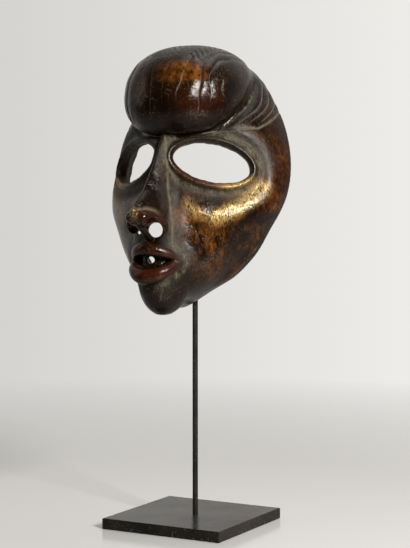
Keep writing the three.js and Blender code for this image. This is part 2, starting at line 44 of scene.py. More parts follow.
# the mask is carved as one smooth distance, negative inside the wood
# millimetres from the middle of the eyes: x to the mask's own left, y to its back, z up
maskValues = SimpleNamespace(
    place=(0.0, 5.0, 328.0),  # the middle of the eyes, from the middle of the plinth's foot
    wall=10.0,
    outline=(99.0, -131.0, -12.0, 89.0),  # top, foot and widest height, and half the width there
    topCut=3.5,  # how far below the outline's top the wood ends
    faceDepth=81.0,
    backEdge=(20.2, 0.287),  # where the back edge is at the eyes, and how it leans
    jawFlare=3.8,
    gouge=(13.0, 22.0, 0.55),  # in the hollow: row to row, scoop to scoop, and depth
    crown=((0, 24, 47), (59.2, 56.5, 56.2)),
    eyeCentre=(40.3, -40.8, 3.1),
    eyeHalf=(38.7, 21.4),
    eyeAngles=(33.9, 10.3, 12.7),  # turned outward, leaned back, dropped at the outer end
    farEyeShift=1.6,  # the mask's right eye is cut this much further out
    eyeRim=(2.2, 4.2),  # the rim's radius, and how far in from it the opening starts
    rollCentre=(0.0, -10.0, 64.5),
    rollHalf=(54.8, 59.5, 44.3),
    rollLean=0.18,
    strandWidth=9.6,  # about one strand of hair on the roll
    strandDepth=0.35,
    zigzag=(25.0, 36.0, 8.5),  # from peak to peak, twice a peak's height, from row to row
    crownStrand=5.2,  # one strand beside the roll
    cutWidth=1.2,
    nostril=6.6,
    lipBend=(-67.0, 20.5),  # the lips bend round an upright line here, at this radius
    lipGap=(-83.5, 5.2, 13.5),  # height, half its height in the middle, and its inner radius
    upperLip=(-71.8, 10.0, 6.2, 2.8, -1.5),  # height, drop at the corners, half its thickness in
    lowerLip=(-96.5, -13.5, 7.0, 2.8, 1.5),  # the middle and there, and how far it is pushed forward
    mouthHollow=((0, -62, -82), (13, 14.5, 12)),
    mouthSlot=(-82.0, 3.8, 3.0),  # height, half width and half height
    rodSocket=(-38.0, 2.8, -71.3, 45.0),  # height, radius, front and back end
    gridBox=((-96, -120, -140), (96, 58, 114)),
    gridStep=1.4,
    quickStep=2.4,)


# two forms joined, or one cut to the other, with the seam rounded
def joinSoft(first, second, rounding):
    share = np.clip(0.5 + 0.5 * (second - first) / rounding, 0, 1)
    return second + (first - second) * share - rounding * share * (1 - share)


def cutSoft(first, second, rounding):
    return -joinSoft(-first, -second, rounding)


# one at no distance, fading to nought past the reach
def fade(distance, reach, power=2):
    return np.exp(-(np.abs(distance) / reach) ** power)


# nought up to low, one from high, and smooth between
def between(value, low, high):
    share = np.clip((value - low) / (high - low), 0, 1)
    return share * share * (3 - 2 * share)


def most(*values):
    high = values[0]
    for value in values[1:]:
        high = np.maximum(high, value)
    return high


# distance from a round or squarish lump with these half sizes
def lump(point, centre, half, squareness=2.0):
    x, y, z = [np.abs(point[i] - centre[i]) / half[i] for i in range(3)]
    size = (x ** squareness + y ** squareness + z ** squareness) ** (1 / squareness) + 1e-9
    slope = np.sqrt((x / half[0]) ** 2 + (y / half[1]) ** 2 + (z / half[2]) ** 2)
    slope = slope / (np.sqrt(x * x + y * y + z * z) + 1e-9)
    return (size - 1) / (slope + 1e-9)


# distance from a straight round limb
def limb(point, start, end, startRadius, endRadius):
    along = [end[i] - start[i] for i in range(3)]
    lengthSquared = sum(a * a for a in along)
    away = [point[i] - start[i] for i in range(3)]
    share = np.clip(sum(away[i] * along[i] for i in range(3)) / lengthSquared, 0, 1)
    off = [away[i] - share * along[i] for i in range(3)]
    return np.sqrt(off[0] ** 2 + off[1] ** 2 + off[2] ** 2) - startRadius - (endRadius - startRadius) * share


# distance from a bent line through the given points
def trail(point, places, radius=0.0):
    legs = [limb(point, places[i], places[i + 1], radius, radius) for i in range(len(places) - 1)]
    return np.maximum(np.minimum.reduce(legs), 0)


# how an outline narrows toward its end
def roundOff(share, squareness, bluntness):
    return np.maximum(1 - np.maximum(share, 0) ** squareness, 1e-4) ** bluntness


def backEdge(height):
    start, lean = maskValues.backEdge
    return start + lean * height


# how far a point is behind the leaning plane of the back edge
def behindEdge(point):
    return (point[1] - backEdge(point[2])) * 0.961


# the egg-shaped block that the face is cut from
def blank(point, inset):
    top, foot, widest, halfWidth = maskValues.outline
    footRise = 0.1 * np.maximum(point[1] + 55, 0) * between(-point[2], 90, 125)
    raised = point[2] - footRise
    height = np.clip(raised, foot, top)
    above = roundOff((height - widest) / (top - widest), 1.8, 0.6)
    below = roundOff((widest - height) / (widest - foot), 1.75, 0.85)
    width = np.maximum(halfWidth * np.where(height > widest, above, below) - inset, 0.5)
    upper = maskValues.faceDepth * roundOff(height / top, 3.2, 0.6)
    lower = (maskValues.faceDepth + 0.12 * height) * roundOff(height / foot, 8, 0.6)
    depth = np.maximum(np.where(height > 0, upper, lower) - inset, 0.5)
    roundness = 1.95 - 0.3 * fade(height + 15, 45)
    across = (np.abs(point[0]) / width) ** roundness
    forward = (np.maximum(backEdge(height) - point[1], 0) / depth) ** roundness
    side = ((across + forward) ** (1 / roundness) - 1) * np.minimum(width, depth) * 0.9
    topEnd = top - maskValues.topCut - inset
    return most(side, raised - topEnd, foot + inset - raised)


def crown(point, inset):
    centre, half = maskValues.crown
    return lump(point, centre, [size - inset for size in half])


# a point as the eye's flat sees it: along the eye, up it, and out of it
def intoEye(point):
    turn, lean, drop = [math.radians(a) for a in maskValues.eyeAngles]
    outward = (math.sin(turn) * math.cos(lean), -math.cos(turn) * math.cos(lean), math.sin(lean))
    along = (math.cos(turn), math.sin(turn), 0.0)
    upward = np.cross(outward, along)
    farShift = maskValues.farEyeShift * between(-point[0], 0, 20)
    x = np.abs(point[0]) - maskValues.eyeCentre[0] - farShift
    y = point[1] - maskValues.eyeCentre[1]
    z = point[2] - maskValues.eyeCentre[2]
    s = x * along[0] + y * along[1]
    t = x * upward[0] + y * upward[1] + z * upward[2]
    out = x * outward[0] + y * outward[1] + z * outward[2]
    return s * math.cos(drop) - t * math.sin(drop), s * math.sin(drop) + t * math.cos(drop), out


# distance from the eye's outline, on its flat
def oval(s, t, inset=0.0):
    a, b = maskValues.eyeHalf[0] - inset, maskValues.eyeHalf[1] - inset
    size = np.sqrt((s / a) ** 2 + (t / b) ** 2) + 1e-9
    slope = np.sqrt((s / a / a) ** 2 + (t / b / b) ** 2) + 1e-9
    return size * (size - 1) / slope


# the nose is a wedge with a narrow ridge that sweeps forward to the tip
def noseWedge(point):
    foot, top, root, roundness = -48, 24, -50, 1.4
    height = np.clip(point[2], foot, top)
    ridge = np.interp(height, (foot, -38, -30, -21, 0, top), (-112, -111.5, -102, -90, -74.5, -59))
    half = np.interp(height, (foot, -24, 0, top), (17.5, 15.5, 10, 6))
    depth = root - ridge
    across = (np.abs(point[0]) / half) ** roundness
    forward = (np.maximum(root - point[1], 0) / depth) ** roundness
    side = ((across + forward) ** (1 / roundness) - 1) * np.minimum(half, depth) * 0.85
    return cutSoft(cutSoft(side, point[2] - top - 3, 5), foot - point[2], 6)


# how far round the mouth a point is: the angle, and its share of the way to the corner
def lipFrame(point):
    turn = np.arctan2(point[0], maskValues.lipBend[0] - point[1])
    turn = np.clip(turn, -math.pi / 2, math.pi / 2)
    return turn, np.abs(turn) / (math.pi / 2)


# a flattened band bent round the mouth, thinner toward its corners
def lip(point, height, cornerDrop, middle, corner, forward):
    centre, radius = maskValues.lipBend
    turn, share = lipFrame(point)
    up = point[2] - height + cornerDrop * share ** 1.6
    bend = radius + forward * np.cos(turn)
    x = point[0] - bend * np.sin(turn)
    y = point[1] - centre + bend * np.cos(turn)
    half = middle + (corner - middle) * share ** 1.5
    return (np.sqrt((x * x + y * y) / (0.8 * half) ** 2 + (up / half) ** 2) - 1) * 0.85 * half


def upperLip(point):
    return lip(point, *maskValues.upperLip)


def lowerLip(point):
    return lip(point, *maskValues.lowerLip)


# distance from the roll of hair
def fromRoll(point):
    x, y, z = point
    leaned = y - maskValues.rollLean * (z - maskValues.rollCentre[2])
    return lump((x, leaned, z), maskValues.rollCentre, maskValues.rollHalf, 2.3)


# where the cuts between the strands cross the front of the roll, from the wearer's right to the left
strandCuts = (-64, -54, -48, -42, -35, -21, -7, 7, 20.5, 35, 42.5, 50, 60)


# how far a point is along the row of strands, counted in strands, and how far round the roll
def strandPlace(point):
    upward, forward = (point[2] - 63.5) / 43.5, -(point[1] + 10) / 61.0
    around = np.degrees(np.arctan2(upward, forward))
    bent = point[0] + 1.6 * np.sin(around * 0.055 + point[0] * 0.13)
    bent = bent + 0.5 * np.sin(around * 0.16 + point[0] * 0.4)
    return np.interp(bent, strandCuts, np.arange(len(strandCuts)) - len(strandCuts) / 2), around


# where the strands run on the roll, nought to one: over the front, and right over the top at the ends
def strandArea(point):
    strand, around = strandPlace(point)
    number = np.floor(strand)
    foot = -14 - 34 * between(-point[0], 18, 38) + 13 * np.sin(number * 2.3)
    top = 46 + 8 * np.sin(number * 1.7) + 100 * between(np.abs(point[0]), 30, 40)
    nearEnd = 53 - 9 * between(around, 20, 40)
    farEnd = 49 - 4 * between(around, 30, 55)
    lengthwise = between(around, foot - 12, foot + 12) * (1 - between(around, top - 6, top + 6))
    nearEdge = 1 - between(point[0], nearEnd - 4, nearEnd + 4)
    farEdge = 1 - between(-point[0], farEnd - 4, farEnd + 4)
    polished = between(-point[0], -12, -6) * (1 - between(-point[0], 26, 32))  # strands are faint here
    return lengthwise * nearEdge * farEdge * (1 - 0.65 * polished)


# zigzag rows over the top of the roll, counted in rows, and where they run
def zigzagPlace(point):
    around = strandPlace(point)[1]
    period, peak, spacing = maskValues.zigzag
    wave = np.abs((point[0] / period + 0.23) % 1 - 0.5) * peak
    area = between(around, 46, 56) * (1 - between(around, 118, 130))
    return ((around - 50) * 0.95 - wave) / spacing, area * (1 - between(np.abs(point[0]), 27, 35))


# strands on the crown that run side by side with the back edge of the roll
def crownPlace(point, roll):
    area = between(roll, 3, 6) * (1 - between(roll, 22, 30)) * between(point[2], 34, 50)
    return (roll + 0.8 * np.sin(point[2] * 0.2)) / maskValues.crownStrand, area


# a narrow cut down the middle of each row
def groove(row, area, spacing):
    return area * np.exp(-((np.abs(row % 1 - 0.5)) * spacing / maskValues.cutWidth) ** 2)


# fine cuts, as points that they run through
browLine = ((37, -32, 28.7), (49, -25, 30.6), (60.5, -16, 32), (67.3, -6.4, 33), (70.3, 4, 37.2),
            (71, 16, 42), (69, 33, 48.5))
chinCut = ((11.5, -77.5, -106), (8.6, -76.5, -117))
wingCrease = ((2.5, -104.5, -37.5), (6, -96.5, -36.6), (9.5, -88, -38.5), (13, -81.5, -42.5),
              (17, -80, -48), (18.8, -79, -54), (17.6, -75, -61))


# chin, its underside, and the swellings behind the lips and under the nose
def addLowerFace(wood, point):
    wood = joinSoft(wood, lump(point, (0, -58, -105.5), (18, 24, 26)), 10)
    wood = joinSoft(wood, limb(point, (0, -55, -108), (0, -24, -99.5), 17, 9.5), 10)
    wood = joinSoft(wood, lump(point, (0, -62, -82), (25, 21, 27)), 8)
    return joinSoft(wood, lump(point, (0, -60, -56), (23, 17, 20)), 8)


# a channel round each eye, and a full cheek below it
def shapeRoundEyes(wood, point):
    s, t, out = intoEye(point)
    ring = oval(s, t)
    wood = wood + 2.2 * fade(ring - 7, 5) * fade(out, 25, 4)
    underEye = np.clip((4 - t) / 18, 0, 1)
    return wood - 2 * underEye * fade(ring - 24, 11) * fade(out, 30, 4)


def addRoll(wood, point):
    roll = fromRoll(point)
    trough = 2.4 * fade(roll, 3.4) * fade(wood, 4) * (1 - between(point[2], 66, 88))
    strand, area = strandPlace(point)[0], strandArea(point)
    cuts = groove(strand, area, maskValues.strandWidth)
    cuts = cuts + 1.4 * groove(*zigzagPlace(point), maskValues.zigzag[2])
    lobes = 0.2 * np.cos(2 * math.pi * (strand - 0.5)) * area
    wood = wood + 0.4 * groove(*crownPlace(point, roll), maskValues.crownStrand) * fade(wood, 4)
    roll = roll + (maskValues.strandDepth * cuts + lobes) * fade(roll, 4)
    return joinSoft(wood, roll, 2) + trough


def addNoseAndLips(wood, point):
    mirrored = (np.abs(point[0]), point[1], point[2])
    wood = joinSoft(wood, noseWedge(point), 4)
    wood = joinSoft(wood, limb(mirrored, (5.2, -101, -45), (12.4, -84, -52.3), 6.3, 7.7), 2.2)
    wood = joinSoft(wood, upperLip(point), 1.2)
    return joinSoft(wood, lowerLip(point), 1.2)


def outside(point):
    s, t, out = intoEye(point)
    mirrored = (np.abs(point[0]), point[1], point[2])
    wood = cutSoft(blank(point, 0), out - 1, 9)  # the two flats with the eyes in them
    wood = joinSoft(wood, crown(point, 0), 8)
    wood = addLowerFace(wood, point)
    wood = shapeRoundEyes(wood, point)
    wood = addRoll(wood, point)
    wood = addNoseAndLips(wood, point)
    rim = np.sqrt((oval(s, t) + 0.2) ** 2 + (wood + 0.5) ** 2) - maskValues.eyeRim[0]
    wood = joinSoft(wood, rim, 1.4)
    wood = wood + 1.5 * fade(trail(mirrored, wingCrease), 1.9)
    return wood + 0.5 * fade(trail(mirrored, browLine), 1.1) + 0.5 * fade(trail(point, chinCut), 0.9)


# the hollow back, cut with a round gouge in rows of short scoops
def hollow(point):
    out = intoEye(point)[2]
    wall = maskValues.wall
    space = joinSoft(cutSoft(blank(point, wall), out + wall - 2, 9), crown(point, wall), 8)
    rowStep, scoopStep, depth = maskValues.gouge
    row = (point[2] + 7 * np.sin(point[0] * 0.05)) / rowStep
    along = (point[0] + 9 * np.sin(np.floor(row) * 2.4)) / scoopStep
    scoop = np.cos(2 * math.pi * row) * 0.5 + np.cos(2 * math.pi * along) * 0.35
    return space + depth * scoop * fade(space, 6)


# where the back edge of the jaw flares out a little, nought to one; the same band carries the painted shade
# strip and the painted highlight line
def jawStrip(height):
    return between(-height, 52, 84) * (1 - between(-height, 98, 114))


def eyeOpening(point):
    s, t, out = intoEye(point)
    angle = np.arctan2(t, s)
    uneven = 0.2 * np.sin(7 * angle + 1) + 0.14 * np.sin(17 * angle)  # the edge is cut by hand
    return most(oval(s, t, maskValues.eyeRim[1] + uneven), out - 12, -34 - out)


def cutNostrils(wood, point):
    x, y, z = point
    radius = maskValues.nostril
    wood = cutSoft(wood, -lump((np.abs(x), y, z), (10.2, -95, -55), (6.2, 14, 11)), 1.5)
    for side in (x, -x):
        wood = cutSoft(wood, -limb((side, y, z), (23, -112, -54), (-20, -34, -58), radius, radius), 1.2)
    # a small second hole far in the right nostril, and the bridge of wood between the two nostrils
    wood = cutSoft(wood, -limb(point, (-8.5, -85.8, -57.6), (-37.3, -33.2, -60.4), 1.9, 1.9), 0.8)
    return joinSoft(wood, limb(point, (0, -101, -49), (0, -80, -64), 2.8, 3.2), 1.5)


def mouthHollow(point):
    return lump(point, *maskValues.mouthHollow)


# the gap between the lips, the hollow behind them, and the small slot through to the back
def cutMouth(wood, point):
    x, y, z = point
    centre = maskValues.lipBend[0]
    share = lipFrame(point)[1]
    gapHeight, halfGap, innerRadius = maskValues.lipGap
    gap = np.abs(z - gapHeight - 1.5 * share) - halfGap * (1 - (share / 0.78) ** 2)
    inward = innerRadius - np.sqrt(x * x + (y - centre) ** 2)
    wood = cutSoft(wood, -most(gap, inward, y - centre - 1), 1.5)
    wood = cutSoft(wood, -mouthHollow(point), 2)
    height, halfWidth, halfHeight = maskValues.mouthSlot
    slot = (np.sqrt((x / halfWidth) ** 2 + ((z - height) / halfHeight) ** 2) - 1) * halfHeight
    return cutSoft(wood, -most(slot, y + 30, -120 - y), 1.0)


def cutRodSocket(wood, point):
    height, radius, start, end = maskValues.rodSocket
    socket = np.sqrt(point[0] ** 2 + (point[2] - height) ** 2) - radius
    return np.maximum(wood, -most(socket, start - point[1], point[1] - end))


def carving(point):
    back = behindEdge(point)
    skin = outside(point) - maskValues.jawFlare * between(back, -17, -5) * jawStrip(point[2])
    wood = cutSoft(skin, -hollow(point), 1.5)
    wood = cutSoft(cutSoft(wood, back, 1.2), (skin + back) * 0.707 + 0.6, 1)  # back edge, chamfered
    wood = cutSoft(wood, -eyeOpening(point), 1.6)
    wood = cutNostrils(wood, point)
    wood = cutMouth(wood, point)
    return cutRodSocket(wood, point)


# spreads coarse grid values over a finer grid, one axis after another
def interpolate(values, coarse, fine):
    for axis in range(3):
        place = np.interp(fine[axis], coarse[axis], np.arange(len(coarse[axis])))
        low = np.minimum(place.astype(int), len(coarse[axis]) - 2)
        share = (place - low).astype(np.float32)
        shape = [1, 1, 1]
        shape[axis] = -1
        share = share.reshape(shape)
        values = np.take(values, low, axis) * (1 - share) + np.take(values, low + 1, axis) * share
    return values


# distances on a grid, exact only in the band near the surface
def sampleBand(distanceAt, low, high, step, band=7.0, coarseStep=5.0):
    coarse = [np.arange(low[i], high[i] + coarseStep, coarseStep) for i in range(3)]
    fine = [np.arange(low[i], high[i], step) for i in range(3)]
    rough = distanceAt(np.meshgrid(*coarse, indexing="ij")).astype(np.float32)
    values = interpolate(rough, coarse, fine)
    near = np.nonzero(np.abs(values) < band)
    values[near] = distanceAt([fine[i][near[i]] for i in range(3)])
    return values, fine


cellCorners = [(a, b, c) for a in (0, 1) for b in (0, 1) for c in (0, 1)]


# one point in every grid cell that the surface passes through, at the mean of its crossings
def netPoints(values, lines, cells):
    total = np.zeros((len(cells), 3))
    crossings = np.zeros(len(cells))
    for corner in cellCorners:
        for axis in range(3):
            if corner[axis]:
                continue
            near = cells + corner
            far = near.copy()
            far[:, axis] += 1
            nearValue, farValue = values[tuple(near.T)], values[tuple(far.T)]
            crossed = (nearValue < 0) != (farValue < 0)
            share = np.where(crossed, nearValue / (nearValue - farValue + 1e-30), 0)
            nearPoint = np.stack([lines[i][near[:, i]] for i in range(3)], 1)
            farPoint = np.stack([lines[i][far[:, i]] for i in range(3)], 1)
            total += crossed[:, None] * (nearPoint + (farPoint - nearPoint) * share[:, None])
            crossings += crossed
    return total / crossings[:, None]


# one outward quad for every grid edge that the surface crosses
def netQuads(inside, indexOf):
    quads = []
    for axis in range(3):
        lower, upper = [slice(None)] * 3, [slice(None)] * 3
        lower[axis], upper[axis] = slice(0, -1), slice(1, None)
        first, second = inside[tuple(lower)], inside[tuple(upper)]
        edges = np.argwhere(first != second)
        others = [a for a in range(3) if a != axis]
        ring = []
        for back in ((1, 1), (0, 1), (0, 0), (1, 0)):
            cell = edges.copy()
            cell[:, others[0]] -= back[0]
            cell[:, others[1]] -= back[1]
            ring.append(indexOf[tuple(cell.T)])
        quad = np.stack(ring, 1)
        turned = first[tuple(edges.T)] == (axis == 1)  # these would face into the wood
        quad[turned] = quad[turned][:, ::-1]
        quads.append(quad)
    return np.concatenate(quads)


def surfaceNet(values, lines):
    inside = values < 0
    size = values.shape
    count = np.zeros([n - 1 for n in size], np.int8)
    for a, b, c in cellCorners:
        count += inside[a:size[0] - 1 + a, b:size[1] - 1 + b, c:size[2] - 1 + c]
    cells = np.argwhere((count > 0) & (count < 8))
    indexOf = -np.ones(count.shape, np.int64)
    indexOf[tuple(cells.T)] = np.arange(len(cells))
    return netPoints(values, lines, cells), netQuads(inside, indexOf)


def slopeAt(distanceAt, points, reach=0.3):
    slope = np.zeros_like(points)
    for axis in range(3):
        step = np.zeros(3)
        step[axis] = reach
        slope[:, axis] = distanceAt(list((points + step).T)) - distanceAt(list((points - step).T))
    return slope / (2 * reach)


# moves the points onto the surface itself
def settle(distanceAt, points, times=2):
    for _ in range(times):
        slope = slopeAt(distanceAt, points)
        size = np.maximum((slope ** 2).sum(1), 0.2)
        move = (distanceAt(list(points.T)) / size)[:, None] * slope
        length = np.linalg.norm(move, axis=1, keepdims=True)
        points = points - move * np.minimum(1, 0.6 / (length + 1e-9))
    return points


def smoothMesh(name, points, faces, normals):
    mesh = bpy.data.meshes.new(name)
    mesh.vertices.add(len(points))
    mesh.vertices.foreach_set("co", np.asarray(points, np.float32).ravel())
    sides = faces.shape[1]
    mesh.loops.add(faces.size)
    mesh.loops.foreach_set("vertex_index", faces.astype(np.int32).ravel())
    mesh.polygons.add(len(faces))
    mesh.polygons.foreach_set("loop_start", np.arange(0, faces.size, sides, dtype=np.int32))
    mesh.update(calc_edges=True)
    mesh.polygons.foreach_set("use_smooth", np.ones(len(mesh.polygons), bool))
    mesh.normals_split_custom_set_from_vertices(normals.tolist())
    return mesh


def addToScene(name, data):
    made = bpy.data.objects.new(name, data)
    bpy.context.scene.collection.objects.link(made)
    return made


# where dust, wear and colours follow the carving, as points on the left half of the face
noseCrease = ((1.3, -56.5, 25), (4.6, -60, 14), (7.8, -63.6, -4), (11.2, -68.3, -21.3), (14.9, -69.8, -38.6),
              (17.3, -71.2, -51.5), (18, -73, -67.2))
mouthTrail = ((18, -73, -67.2), (22.5, -70.4, -73), (26.9, -65.8, -78.5), (27.9, -64.4, -84.6),
              (25.3, -66.3, -91.7), (18.2, -73.5, -98.5), (9.6, -79.5, -104.4))
cheekTrail = ((47.7, -47.9, -44.7), (55.9, -41.2, -41.3), (63.5, -33, -35.1), (70.4, -23.5, -27.5),
              (76, -15.2, -19.5))
innerCheek = ((26.2, -59.2, -33.3), (32.7, -57.1, -40.4), (40.3, -52.7, -43.7), (47.7, -47.9, -44.7))
cheekGlow = ((33, -58, -46), (40, -54, -60), (43, -51, -72))
templeTrail = ((65.9, 15.8, 50.3), (73.1, 10.4, 36.4), (79.3, 9.8, 23.1), (84, 6.2, 5.2), (85.8, 1, -12.5),
               (84.4, -5.7, -30.1))
wingTop = ((5, -103, -43), (12.4, -84, -50))


# the distances that the marks are placed by
def measure(points):
    point = list(points.T)
    x, y, z = point
    s, t, out = intoEye(point)
    ring = oval(s, t)
    roll = fromRoll(point)
    return SimpleNamespace(
        point=point, mirrored=(np.abs(x), y, z), x=x, z=z, s=s, t=t, out=out, ring=ring, roll=roll,
        away=blank(point, 0),
        offRoll=between(roll, 0.3, 1.6),
        # how far a point is past the start of the painted shade strip at the jaw's back edge
        strip=behindEdge(point) + 7.5,
        lowerRim=between(-t, 0, 12) * fade(ring + 1.4, 2.8) * fade(out, 9, 4))


def roundEye(here, middle, reach, depth):
    return fade(here.ring - middle, reach) * fade(here.out, depth, 4) * here.offRoll


def along(here, places, radius, reach):
    return fade(trail(here.mirrored, places, radius), reach)


def patch(here, centre, half, reach):
    return fade(np.maximum(lump(here.point, centre, half), 0), reach)


# the varnished side of the wood, nought to one, and less on the walls of the eye openings
def varnishedFace(here):
    face = between(hollow(here.point), 1, 3.5) * between(backEdge(here.z) - here.point[1], 0.6, 1.6)
    return np.minimum(face, 1 - 0.6 * between(-here.ring, 2.6, 4) * fade(here.out, 12, 4))


# beside the eye rims, under the roll, beside the nose, and round and behind the lips; the pale line along
# the jaw strip is a painted highlight on the back edge
def dustAndHighlightAt(here):
    rimReach = 1.7 + 2.2 * between(here.t, 0, 12)
    return most(
        0.9 * roundEye(here, 4.4, rimReach, 14),
        0.7 * fade(here.roll - 1.0, 1.2) * fade(here.away, 5, 4) * (1 - between(here.z, 60, 84)),
        0.6 * along(here, noseCrease[2:], 0.5, 2.2),
        0.7 * along(here, mouthTrail, 0.5, 2.6),
        0.5 * fade(mouthHollow(here.point), 1.5),
        # painted highlight: a pale line along the back edge of the jaw
        0.8 * fade(here.strip, 0.7) * jawStrip(here.z))


# dust packed into the narrow creases
def packedAt(here):
    return most(
        0.9 * along(here, noseCrease, 0.3, 0.8),
        0.8 * along(here, browLine, 0.2, 0.7),
        0.45 * fade(trail(here.point, chinCut), 0.6),
        0.8 * along(here, wingCrease, 0.5, 1.0))


# hollows that no hand has polished
def dullAt(here):
    return most(
        along(here, noseCrease[3:], 6, 7),
        along(here, mouthTrail, 5, 6),
        roundEye(here, 7, 8, 16),
        0.8 * between(here.t, -4, 8) * roundEye(here, 15, 8, 18),
        0.85 * fade(here.roll - 2, 6) * fade(here.away, 5, 4) * here.offRoll)


# cheeks and lower rims, where handling has worn the varnish through, and a painted highlight in gold on the
# nose tip
def wornAndHighlightAt(here):
    cheeks = most(along(here, cheekTrail, 2.2, 4.5),
                  0.45 * along(here, innerCheek, 1.0, 4))
    fullCheeks = cheeks * (1 - 0.6 * between(-here.x, 10, 30))
    # painted highlight: gold on the nose tip
    noseTip = np.maximum(limb(here.point, (0, -110, -38), (0, -108, -44), 2, 2), 0)
    return most(fullCheeks, between(here.s, 4, 20) * here.lowerRim, 0.3 * fade(noseTip, 2.5))


# thin varnish that lets the warm wood through
def amberAt(here):
    temple = 0.55 - 0.42 * between(here.z, 4, 30)
    return most(
        0.05,
        along(here, cheekTrail, 5, 7),
        along(here, innerCheek, 3, 6),
        0.6 * along(here, cheekGlow, 8, 14),
        temple * along(here, templeTrail, 3, 8),
        0.3 * between(-here.z, 40, 60) * between(np.abs(here.x), 22, 36),
        0.8 * between(here.s, -16, 10) * here.lowerRim,
        0.3 * between(here.s, 4, 22) * roundEye(here, 19, 5, 20))


# lips, nose wings, temples, lower rims and two patches of the roll
def redAt(here):
    upperRed = 0.35 + 0.5 * between(here.x, 0, 18)
    temple = 0.45 - 0.25 * between(here.z, 0, 30)
    return most(
        fade(np.maximum(lowerLip(here.point), 0), 1.2),
        upperRed * fade(np.maximum(upperLip(here.point), 0), 1.2),
        temple * along(here, templeTrail, 4, 8),
        here.lowerRim,
        0.5 * patch(here, (34, -56, 58), (16, 14, 7), 7),
        0.6 * patch(here, (-28, -60, 70), (12, 12, 10), 8),
        0.8 * along(here, wingTop, 5, 2.5))


rowSpan = 32  # a row counter is kept on the mesh as nought to one, over this many rows


# where the fine lines run that the shader draws
def rowMarks(here, face):
    onRoll = fade(here.roll, 2.5)
    zigzagRow, zigzagArea = zigzagPlace(here.point)
    crownRow, crownArea = crownPlace(here.point, here.roll)
    places = {
        "eye": (here.ring, roundEye(here, 6, 5, 14) * face),
        "strand": (strandPlace(here.point)[0], strandArea(here.point) * onRoll),
        "zigzag": (zigzagRow, zigzagArea * onRoll),
        "crown": (crownRow, crownArea * face),
    }
    marks = {}
    for name, (row, area) in places.items():
        marks[name + "Row"] = row / rowSpan + 0.5
        marks[name + "Area"] = area
    return marks


def maskMarks(points):
    here = measure(points)
    face = varnishedFace(here)
    onFace = {
        "dustAndHighlight": dustAndHighlightAt(here),
        "packed": packedAt(here),
        "dull": dullAt(here),
        "wornAndHighlight": wornAndHighlightAt(here),
        "amber": amberAt(here),
        "glow": 0.52 * patch(here, (21, -58, 82), (16, 12, 5), 6),
        "red": redAt(here),
    }
    marks = {name: strength * face for name, strength in onFace.items()}
    marks["inside"] = 1 - face
    # painted shade: the flared band at the back of the jaw is painted near black for the shadow that falls
    # on it
    marks["strip"] = between(here.strip, 0, 1.2) * jawStrip(here.z)
    return marks | rowMarks(here, face)


def makeMask():
    step = maskValues.gridStep
    values, lines = sampleBand(carving, *maskValues.gridBox, step)
    points, quads = surfaceNet(values, lines)
    points = settle(carving, points)
    normals = slopeAt(carving, points)
    normals /= np.linalg.norm(normals, axis=1, keepdims=True) + 1e-9
    mesh = smoothMesh("carvedMask", (points + maskValues.place) * millimetre, quads, normals)
    for name, strength in maskMarks(points).items():
        layer = mesh.attributes.new(name, "FLOAT", "POINT")
        layer.data.foreach_set("value", np.clip(strength, 0, 1).astype(np.float32))
    print("mask:", 2 * len(quads), "triangles")
    return addToScene("carvedMask", mesh)


mask = makeMask()


def newMaterial(name):
    material = bpy.data.materials.new(name)
    material.use_nodes = True
    return material, material.node_tree, material.node_tree.nodes["Principled BSDF"]


# short ways of adding the shader nodes used below
def newNode(tree, kind):
    return tree.nodes.new("ShaderNode" + kind)


def feed(tree, value, socket):
    if isinstance(value, bpy.types.NodeSocket):
        tree.links.new(value, socket)
    else:
        socket.default_value = value


def feedAll(tree, node, values):
    for name, value in values.items():
        feed(tree, value, node.inputs[name])


def objectPlace(tree, scale=(1, 1, 1), turn=(0, 0, 0)):
    place = newNode(tree, "TexCoord")
    mapping = newNode(tree, "Mapping")
    feedAll(tree, mapping, {"Vector": place.outputs["Object"], "Scale": scale, "Rotation": turn})
    return mapping.outputs["Vector"]


def noise(tree, place, scale, detail=4.0, roughness=0.55, distortion=0.0):
    node = newNode(tree, "TexNoise")
    feedAll(tree, node, {"Vector": place, "Scale": scale, "Detail": detail, "Roughness": roughness,
                         "Distortion": distortion})
    return node.outputs["Fac"]


def mark(tree, name):
    node = newNode(tree, "Attribute")
    node.attribute_name = name
    return node.outputs["Fac"]


def spread(tree, value, low, high, newLow=0.0, newHigh=1.0):
    node = newNode(tree, "MapRange")
    feedAll(tree, node, {"Value": value, "From Min": low, "From Max": high,
                         "To Min": newLow, "To Max": newHigh})
    return node.outputs["Result"]


def combine(tree, kind, first, second=0.0):
    node = newNode(tree, "Math")
    node.operation = kind
    feedAll(tree, node, {0: first, 1: second})
    return node.outputs[0]


def combineAll(tree, kind, first, *others):
    for other in others:
        first = combine(tree, kind, first, other)
    return first


def mixColour(tree, share, first, second):
    node = newNode(tree, "Mix")
    node.data_type = "RGBA"
    first, second = [(*c, 1) if isinstance(c, tuple) else c for c in (first, second)]
    feedAll(tree, node, {"Factor": share, 6: first, 7: second})
    return node.outputs[2]


def mixValue(tree, share, first, second):
    node = newNode(tree, "Mix")
    feedAll(tree, node, {"Factor": share, 2: first, 3: second})
    return node.outputs[0]


def bump(tree, height, strength, distance, before=None):
    node = newNode(tree, "Bump")
    feedAll(tree, node, {"Strength": strength, "Distance": distance, "Height": height})
    if before is not None:
        feed(tree, before, node.inputs["Normal"])
    return node.outputs["Normal"]


# a mark from the mesh, broken up by one pattern after another
def brokenMark(tree, name, *patterns):
    return combineAll(tree, "MULTIPLY", mark(tree, name), *[spread(tree, *pattern) for pattern in patterns])


# thin cut lines from a row counter and the area they run in, both kept on the mesh
def thinLines(tree, name, width, rows=rowSpan):
    row = combine(tree, "MULTIPLY", mark(tree, name + "Row"), rows)
    inRow = combine(tree, "ABSOLUTE", combine(tree, "SUBTRACT", combine(tree, "FRACT", row), 0.5))
    return combine(tree, "MULTIPLY", spread(tree, inRow, 0, width, 1.0, 0.0), mark(tree, name + "Area"))


